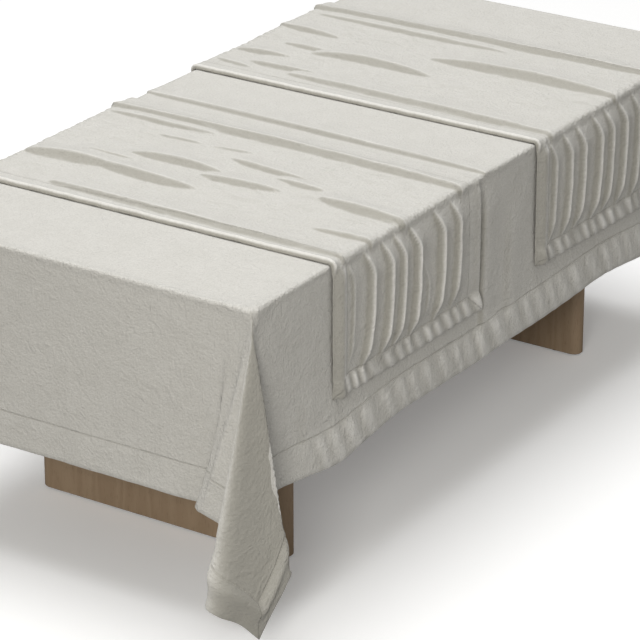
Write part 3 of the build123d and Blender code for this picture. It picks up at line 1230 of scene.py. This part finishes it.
        cloth.points += cloth.normals() * ((crumple + curl) * tail)[..., None]
        self.clear_table(cloth.points, self.clearance + self.corner_room * apex)
        # Painted highlight on crests and painted shade on flanks and hollows, from the relief.
        painted_light = painted_light_of(lift, u_lines, fade(past_v, 0.0, 0.02))
        # Painted highlight and painted shade in uneven stripes across the gathered hems of the long
        # sides.
        in_hem = fade(self.half_v - np.abs(v), self.hem + 0.002, self.hem - 0.010)
        in_hem *= fade(past_u, 0.0, -0.05)
        uneven = 1.0 + 0.7 * soft_noise(u, 0 * v, 0.17, 12.0)
        gathered = fade(past_u, -0.15, -0.26)
        stripe = uneven * (self.hem_wave(u, v) - 0.34 * gathered)
        painted_light = painted_light * (1 - in_hem) + 0.95 * stripe * in_hem
        return cloth, painted_light + self.tail_painted_light(past_u, past_v)

    def table_gap(self, points: Array) -> Array:
        """Distance of each point from the table top, whose edges and corners are rounded.

        Args:
            points: Places in space.

        Returns:
            One distance for each point, and a safe one for those below the top's underside.
        """
        out_x = np.abs(points[..., 0]) - wood_high[0] + self.corner
        out_y = np.abs(points[..., 1]) - wood_high[1] + self.corner
        inside = np.minimum(np.maximum(out_x, out_y), 0)
        plan = np.hypot(np.clip(out_x, 0, None), np.clip(out_y, 0, None)) + inside
        side = plan - self.corner + self.arris
        above = points[..., 2] - wood_high[2] + self.arris
        inside = np.minimum(np.maximum(side, above), 0)
        rounded = np.hypot(np.clip(side, 0, None), np.clip(above, 0, None)) + inside
        return np.where(points[..., 2] > wood_low[2], rounded - self.arris, 1.0)

    def clear_table(self, points: Array, least: Array) -> None:
        """Moves away any point that is too near the table top.

        Args:
            points: Places in space, changed where they stand.
            least: Least distance of each point from the wood.
        """
        step = 0.0002
        for _ in range(2):
            gap = self.table_gap(points)
            slope = np.zeros_like(points)
            for axis in range(3):
                moved = points.copy()
                moved[..., axis] += step
                slope[..., axis] = self.table_gap(moved) - gap
            push = np.clip(least - gap, 0, 0.02)
            points += unit(slope) * push[..., None]

    def build(self, linen: bpy.types.Material, thread: bpy.types.Material) -> None:
        """Builds the panel and its hem stitches, and puts them on the table.

        Args:
            linen: Finish of the panel.
            thread: Finish of the stitches.
        """
        cloth, painted_light = self.drape()
        u, v = np.meshgrid(cloth.u_lines, cloth.v_lines, indexing="ij")
        inset = np.minimum(self.half_u - np.abs(u), self.half_v - np.abs(v))
        thick = self.thick * (1 + 0.9 * fade(inset, self.hem + 0.003, self.hem - 0.003))
        panel = cloth.build("tablecloth_panel", thick, painted_light)
        stitches = Stitching().build(
            "tablecloth_stitches", cloth, self.half_u - self.hem, self.half_v - self.hem
        )
        paint(panel, linen)
        paint(stitches, thread)
        soft = [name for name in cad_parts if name.startswith("tablecloth_")]
        for piece in (panel, stitches):
            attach(piece, "dressed_table")
        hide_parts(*soft)
        LOG.info("tablecloth: %d points", len(panel.data.vertices))


# ---------------------------------------------------------------- the runners


@dataclass
class Runner:
    """A hemmed panel laid loose across the table, with its own crumples.

    Attributes:
        body: The body that it rides on, which is also its name.
        middle: X of its middle.
        creases: The creases of its top.
        folds: The folds of its two hanging ends.
        seed: Offset of its fine crumples.
        lower: How much deeper the hem hangs at the far side edge.
        half_width: Half its width.
        half_length: Half its cut length.
        hem: Width of the hems at its ends.
        side_hem: Width of the hems along its sides.
        turn: Radius of the turn over the table's edge.
        thick: Thickness of the single cloth.
        lean: How far creases lean towards the near end, as a share of their height.
        rest: Height of relief that doesn't lean.
        roll: Height of the rolled near edge on the table.
        swell: Height of the broad swells of the cloth on the table.
        gather: Depth of the gathers in the end hems.
        flare: How far the end hems stand out towards their lower edge.
        curl: How far the near edges of the hanging ends roll out.
    """

    body: str
    middle: float
    creases: tuple[Crease, ...]
    folds: tuple[HangingFold, ...]
    seed: float
    lower: float
    half_width: float = 0.300
    half_length: float = 0.7925
    hem: float = 0.044
    side_hem: float = 0.050
    turn: float = 0.007
    thick: float = 0.0011
    lean: float = 0.60
    rest: float = 0.003
    roll: float = 0.0100
    swell: float = 0.0020
    gather: float = 0.0085
    flare: float = 0.010
    curl: float = 0.014

    # Height of its outer face on the table, and distance of its drops from the middle.
    TOP = round(CLOTH_TOP + 0.0035, 4)
    FACE = round(HALF_WIDTH + 0.0033, 4)

    def relief(self, x: Array, y: Array, share: Array) -> Array:
        """How far each point stands out from the smooth hang.

        Args:
            x: Place along the table.
            y: Place across it, flat and with its sign.
            share: Share of the drop, 0 on the top.

        Returns:
            The distance out.
        """
        hanging = fade(share, 0.0, 0.09)
        side = np.maximum(self.hanging_relief(x, y, share), 0.0008)
        return self.lying_relief(x, y) * (1 - hanging) + side * hanging

    def lying_relief(self, x: Array, y: Array) -> Array:
        """How far the cloth on the table stands up: its creases, rolled near edge and crumples.

        Args:
            x: Place along the table.
            y: Place across it, flat and with its sign.

        Returns:
            The height above the flat cloth.
        """
        from_near = x - (self.middle - self.half_width)
        lift = np.maximum.reduce([crease.rise(x, y) for crease in self.creases])
        behind_roll = np.clip(from_near - 0.006, 0, 1)
        rolled = fade(from_near, -0.001, 0.005) * np.exp(-behind_roll / 0.028)
        lift = lift + self.roll * rolled - 0.0012 * fade(from_near, 0.004, 0.0)
        swollen = 1 + soft_noise(x, y, 0.11, self.seed)
        lift = lift + self.swell * swollen * fade(from_near, 0.0, 0.05)
        lift = lift + 0.0010 * soft_noise(x, y * 0.5, 0.030, self.seed + 2)
        lift = lift + 0.0009 * crumpled(x, y, 0.045, self.seed)
        at_edge = np.exp(-(((np.abs(y) - self.FACE) / 0.016) ** 2))
        return lift + 0.0016 * at_edge * soft_noise(x, y * 0.7, 0.011, self.seed + 9)

    def hanging_relief(self, x: Array, y: Array, share: Array) -> Array:
        """How far the ends stand out: their folds, gathered hems, crumples and rolled edges.

        Args:
            x: Place along the table.
            y: Place across it, flat and with its sign.
            share: Share of the drop, 0 on the top.

        Returns:
            The distance out.
        """
        from_near = x - (self.middle - self.half_width)
        from_far = (self.middle + self.half_width) - x
        past_seam = self.past_seam(share)
        lift = 0.0012 + sum(fold.out(x, share) for fold in self.folds)
        lift = lift + self.gather * self.hem_wave(x, y, share) * fade(past_seam, 1.25, 0.6)
        lift = lift + self.flare * fade(past_seam, -0.3, 1.6) * fade(from_near, 0.02, 0.14)
        lift = lift + 0.0012 * soft_noise(x, y, 0.05, self.seed + 5) * fade(share, 0.05, 0.3)
        lift = lift + 0.0005 * crumpled(x, y, 0.04, self.seed + 1)
        behind_band = np.clip(from_near - 0.026, 0, 1)
        near_roll = fade(from_near, -0.004, 0.026) / (1 + (behind_band / 0.016) ** 2)
        lift = lift + self.curl * near_roll + 0.004 * np.exp(-((from_far / 0.02) ** 2))
        return lift + 0.003 * fade(share, 0.0, 0.12)

    def past_seam(self, share: Array) -> Array:
        """How far down an end hem each point is, 0 at its seam and 1 at its edge."""
        seam = 1 - self.hem / (self.half_length - self.FACE)
        return (share - seam) / (1 - seam)

    def hem_wave(self, x: Array, y: Array, share: Array) -> Array:
        """The gathers of the hems at its ends, from 0 to about 1."""
        return gathers(x + 3 * np.sign(y), self.past_seam(share), 0.042, 0.020, self.seed)

    def drape(self) -> tuple[ClothGrid, Array]:
        """Lays the runner over the tablecloth.

        Returns:
            The cloth, and the highlight or shade painted at each of its points.
        """
        side_seam = self.half_width - self.side_hem
        end_seam = self.half_length - self.hem
        u_stops = [(side_seam - 0.004, 0.0033), (side_seam + 0.004, 0.002)]
        u_stops += [(self.half_width - 0.009, 0.0034), (self.half_width, 0.0015)]
        v_stops = [(0.462, 0.0096), (0.497, 0.0042), (end_seam - 0.004, 0.0078)]
        v_stops += [(end_seam + 0.004, 0.0030), (self.half_length, 0.0066)]
        u_lines, v_lines = grid_lines(u_stops), grid_lines(v_stops)
        u, v = np.meshgrid(u_lines, v_lines, indexing="ij")
        past = np.abs(v) - self.FACE
        out, down, tilt = over_edge(past, self.turn)
        share = np.clip(past / (self.half_length - self.FACE), 0, 1)
        side = np.sign(v)
        x = self.middle + u
        stretch = 1 + self.lower * (u / self.half_width) * share
        y = side * np.where(past > -0.03, self.FACE + out, np.abs(v))
        place = np.stack([x, y, self.TOP - down * stretch], axis=-1)
        normal = np.stack([np.zeros_like(x), side * np.sin(tilt), np.cos(tilt)], axis=-1)
        relief = self.relief(x, v, share)
        place += normal * relief[..., None]
        inside = fade(self.half_width - np.abs(u), 0.0, 0.03)
        lean = self.lean * (1 - 0.75 * fade(share, 0.0, 0.08))
        place[..., 0] -= lean * (relief - self.rest) * inside
        groove = np.exp(-(((np.abs(u) - side_seam) / 0.003) ** 2))
        groove = np.maximum(groove, np.exp(-(((np.abs(v) - end_seam) / 0.003) ** 2)))
        place -= normal * (0.0006 * groove)[..., None]
        hangs = fade(share, 0.0, 0.08)
        in_hem = fade(self.half_length - np.abs(v), self.hem + 0.002, self.hem - 0.006)
        # Painted highlight on crests and painted shade on flanks and hollows, and painted stripes
        # of light and shade across the gathered end hems.
        stripe = 1.4 * (self.hem_wave(x, v, share) - 0.40)
        painted_light = painted_light_of(relief, u_lines, hangs) * (1 - in_hem) + stripe * in_hem
        # Painted shade on a band along the near edge of each hanging end, with a painted highlight
        # on the lip behind it.
        near_band = fade(u, 0.036 - self.half_width, 0.018 - self.half_width) * hangs
        lip = np.exp(-(((u + self.half_width - 0.037) / 0.006) ** 2)) * hangs
        painted_light = painted_light * (1 - near_band) - 0.8 * near_band + 0.9 * lip
        return ClothGrid(u_lines, v_lines, place), painted_light

    def build(self, linen: bpy.types.Material, thread: bpy.types.Material) -> None:
        """Builds the panel and its stitches, and puts them on the runner's body.

        Args:
            linen: Finish of the panel.
            thread: Finish of the stitches.
        """
        cloth, painted_light = self.drape()
        u, v = np.meshgrid(cloth.u_lines, cloth.v_lines, indexing="ij")
        inset_u = self.half_width - np.abs(u) - self.side_hem
        inset_v = self.half_length - np.abs(v) - self.hem
        thick = self.thick * (1 + 0.8 * fade(np.minimum(inset_u, inset_v), 0.003, -0.003))
        panel = cloth.build(f"{self.body}_panel", thick, painted_light)
        seam = (self.half_width - self.side_hem, self.half_length - self.hem)
        stitches = Stitching().build(f"{self.body}_stitches", cloth, *seam)
        paint(panel, linen)
        paint(stitches, thread)
        soft = [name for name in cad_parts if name.startswith(self.body + "_")]
        for piece in (panel, stitches):
            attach(piece, self.body)
        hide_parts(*soft)
        LOG.info("%s: %d points", self.body, len(panel.data.vertices))


NEAR_CREASES = (
    Crease((-0.655, 0.30), (-0.672, -0.50), 0.0116, 0.060, 0.0, 0.25),
    Crease((-0.524, 0.476), (-0.500, 0.235), 0.0174, 0.050, 0.010),
    Crease((-0.496, 0.300), (-0.517, 0.008), 0.0166, 0.045, -0.004),
    Crease((-0.446, 0.393), (-0.448, 0.208), 0.0087, 0.035),
    Crease((-0.409, 0.264), (-0.405, 0.005), 0.0155, 0.045, 0.012),
    Crease((-0.441, 0.048), (-0.424, -0.157), 0.0116, 0.040),
    Crease((-0.319, 0.045), (-0.342, -0.182), 0.0098, 0.035),
    Crease((-0.369, -0.106), (-0.370, -0.240), 0.0078, 0.030),
    Crease((-0.411, -0.254), (-0.434, -0.520), 0.0155, 0.040),
    Crease((-0.573, -0.340), (-0.560, -0.510), 0.0098, 0.035),
    Crease((-0.276, 0.276), (-0.278, 0.147), 0.0048, 0.025),
    Crease((-0.276, 0.121), (-0.264, 0.019), 0.0048, 0.025),
    Crease((-0.170, 0.500), (-0.190, -0.500), 0.0137, 0.030, 0.012, 0.2),
    Crease((-0.209, 0.468), (-0.207, 0.169), 0.0078, 0.030),
)
NEAR_FOLDS = (
    HangingFold(-0.640, 0.008, swing=0.020, low=0.84),
    HangingFold(-0.570, 0.0184, swing=0.045, low=0.92),
    HangingFold(-0.500, 0.0196, swing=0.036, low=0.91),
    HangingFold(-0.450, 0.0184, swing=0.036, low=0.91),
    HangingFold(-0.390, 0.0207, swing=0.026, low=0.90),
    HangingFold(-0.335, 0.0069, swing=0.020, low=0.84, high=0.35),
    HangingFold(-0.285, 0.0196, swing=0.034, low=0.90),
    HangingFold(-0.215, 0.0172, swing=0.026, low=0.88),
)
FAR_CREASES = (
    Crease((0.233, 0.260), (0.215, -0.505), 0.0116, 0.050, 0.0, 0.3),
    Crease((0.539, 0.490), (0.526, 0.299), 0.0098, 0.040),
    Crease((0.419, 0.392), (0.423, 0.262), 0.0078, 0.035),
    Crease((0.393, 0.295), (0.401, -0.040), 0.0145, 0.045, 0.022),
    Crease((0.324, 0.469), (0.338, 0.324), 0.0098, 0.030),
    Crease((0.260, 0.389), (0.268, 0.190), 0.0098, 0.035),
    Crease((0.234, 0.469), (0.223, 0.364), 0.0059, 0.025),
    Crease((0.513, 0.028), (0.520, -0.500), 0.0174, 0.055, 0.018),
    Crease((0.703, 0.510), (0.710, -0.510), 0.0137, 0.025, 0.0, 0.2),
    Crease((0.656, 0.444), (0.653, -0.117), 0.0087, 0.035),
)
FAR_FOLDS = (
    HangingFold(0.222, 0.0138, swing=0.024, low=0.88),
    HangingFold(0.290, 0.0172, swing=0.030, low=0.90),
    HangingFold(0.352, 0.0184, swing=0.034, low=0.89),
    HangingFold(0.432, 0.0184, swing=0.036, low=0.90),
    HangingFold(0.487, 0.0172, swing=0.034, low=0.89),
    HangingFold(0.553, 0.0184, swing=0.030, low=0.90),
    HangingFold(0.622, 0.0161, swing=0.024, low=0.92),
    HangingFold(0.690, 0.0126, swing=0.012, low=0.93),
)


# ---------------------------------------------------------------- the table and the studio


@dataclass
class Table:
    """The oak table under the cloths, whose boards and hardware are the frame's own."""

    def dress(self) -> None:
        """Gives each board its own grain direction and each fitting its metal."""
        grain = grain_group()
        upright = Oak("oak_upright", Grain.UPRIGHT).material(grain)
        lengthways = Oak("oak_lengthways", Grain.LENGTHWAYS).material(grain)
        across = Oak("oak_across", Grain.ACROSS).material(grain)
        zinc = Metal("zinc_plate", (0.55, 0.55, 0.56, 1.0), 0.3).material()
        brass = Metal("machined_brass", (0.62, 0.46, 0.20, 1.0), 0.25).material()
        glide = Plain("glide_plastic", (0.02, 0.018, 0.016, 1.0), 0.55, 900.0, 0.0001).material()
        endings = {
            "leg_panel": upright,
            "table_top": lengthways,
            "rail": lengthways,
            "head_batten": across,
            "leg_dowels": upright,
            "rail_brackets": zinc,
            "bracket_screws": zinc,
            "batten_bolts": zinc,
            "threaded_inserts": brass,
            "floor_glides": glide,
        }
        for name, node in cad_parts.items():
            for ending, material in endings.items():
                if name.endswith(ending):
                    paint(node, material)
        LOG.info("table: %d finishes", len(endings))


@dataclass
class Studio:
    """The floor, the lights and the camera.

    Attributes:
        eye: Place of the camera.
        heading: Compass angle that it looks along, in degrees from +X.
        dip: How far it looks down, in degrees.
        lens: Focal length in millimetres.
    """

    eye: tuple[float, float, float] = (-6.265, -4.0775, 3.510)
    heading: float = 33.152
    dip: float = 23.539
    lens: float = 192.05

    def floor(self) -> None:
        """Lays a wide round floor, with an outer ring round its middle."""
        bpy.ops.object.select_all(action="DESELECT")
        bpy.ops.mesh.primitive_circle_add(vertices=96, radius=30, fill_type="NGON")
        floor = bpy.context.object
        floor.name = "floor"
        bpy.ops.object.mode_set(mode="EDIT")
        bpy.ops.mesh.select_all(action="SELECT")
        bpy.ops.mesh.inset(thickness=8.0)
        bpy.ops.object.mode_set(mode="OBJECT")
        paint(floor, self.floor_paint())

    def floor_paint(self) -> bpy.types.Material:
        """A pale matt floor that throws little light back up at the table.

        Returns:
            The material, which is paler to the camera than to the light.
        """
        material, s, shader = new_material("floor_paint")
        seen = s.add("LightPath").outputs["Is Camera Ray"]
        pale, dim = (0.97, 0.97, 0.97, 1.0), (0.34, 0.34, 0.34, 1.0)
        s.feed(shader.inputs["Base Color"], s.mix(seen, dim, pale))
        shader.inputs["Emission Color"].default_value = (1.0, 1.0, 1.0, 1.0)
        s.feed(shader.inputs["Emission Strength"], s.math("MULTIPLY", seen, 0.16))
        shader.inputs["Roughness"].default_value = 0.95
        shader.inputs["Specular IOR Level"].default_value = 0.1
        return material

    def light(
        self, name: str, place: tuple, aim: tuple, size: tuple, power: float, tint: tuple
    ) -> None:
        """Hangs one soft rectangular light.

        Args:
            name: Name of the light.
            place: Where it hangs.
            aim: The point that it faces.
            size: Its two sides in metres.
            power: Its power in watts.
            tint: Its colour.
        """
        data = bpy.data.lights.new(name, "AREA")
        data.shape = "RECTANGLE"
        data.size, data.size_y = size
        data.energy = power
        data.color = tint
        lamp = bpy.data.objects.new(name, data)
        lamp.location = place
        lamp.rotation_euler = (Vector(aim) - Vector(place)).to_track_quat("-Z", "Y").to_euler()
        bpy.context.scene.collection.objects.link(lamp)

    def sky(self, strength: float) -> None:
        """Fills the surroundings with an even pale light.

        Args:
            strength: Strength of the light.
        """
        world = bpy.data.worlds.new("surround")
        world.use_nodes = True
        background = world.node_tree.nodes["Background"]
        background.inputs["Color"].default_value = (1.0, 0.978, 0.935, 1.0)
        background.inputs["Strength"].default_value = strength
        bpy.context.scene.world = world

    def camera(self) -> None:
        """Sets up the camera."""
        data = bpy.data.cameras.new("camera")
        data.lens = self.lens
        data.sensor_width = 36.0
        data.clip_end = 200.0
        camera = bpy.data.objects.new("camera", data)
        camera.location = self.eye
        tilt = math.radians(90 - self.dip)
        camera.rotation_euler = (tilt, 0.0, math.radians(self.heading - 90))
        bpy.context.scene.collection.objects.link(camera)
        bpy.context.scene.camera = camera

    def set_up(self) -> None:
        """Builds the whole studio."""
        bpy.context.scene.view_settings.view_transform = "Standard"
        self.floor()
        self.camera()
        self.sky(0.34)
        self.light("overhead", (0.3, 0.9, 7.5), (0, 0, 0), (6.0, 6.0), 436.0, (0.975, 0.985, 1.0))
        self.light("key", (-5.5, -2.5, 2.6), (-0.3, 0, 0.6), (1.4, 1.4), 126.0, (1.0, 0.978, 0.93))
        LOG.info("studio: floor, lights and camera")


def main() -> None:
    """Builds and dresses everything in order."""
    logging.basicConfig(level=logging.INFO, format="%(name)s %(message)s")
    groups = {"weave": weave_group(), "crumple": crumple_group(), "seam": seam_group()}
    Studio().set_up()
    Table().dress()
    thread = Plain("linen_thread", (0.60, 0.585, 0.54, 1.0), 0.7, 2500.0, 0.0001).material()
    cloth = Tablecloth()
    edges = (HALF_LENGTH, HALF_WIDTH)
    linen = Linen("tablecloth_linen", cloth.half_u, cloth.half_v, cloth.hem, *edges)
    cloth.build(linen.material(groups), thread)
    for runner in (
        Runner("near_runner", -0.4145, NEAR_CREASES, NEAR_FOLDS, 21.0, 0.005),
        Runner("far_runner", 0.448, FAR_CREASES, FAR_FOLDS, 33.0, 0.035),
    ):
        finish = Linen(
            runner.body + "_linen",
            runner.half_width,
            runner.half_length,
            runner.hem,
            turn_u=9.0,
            turn_v=runner.FACE,
            seed=runner.seed,
        )
        runner.build(finish.material(groups), thread)


if __name__ == "__main__":
    main()
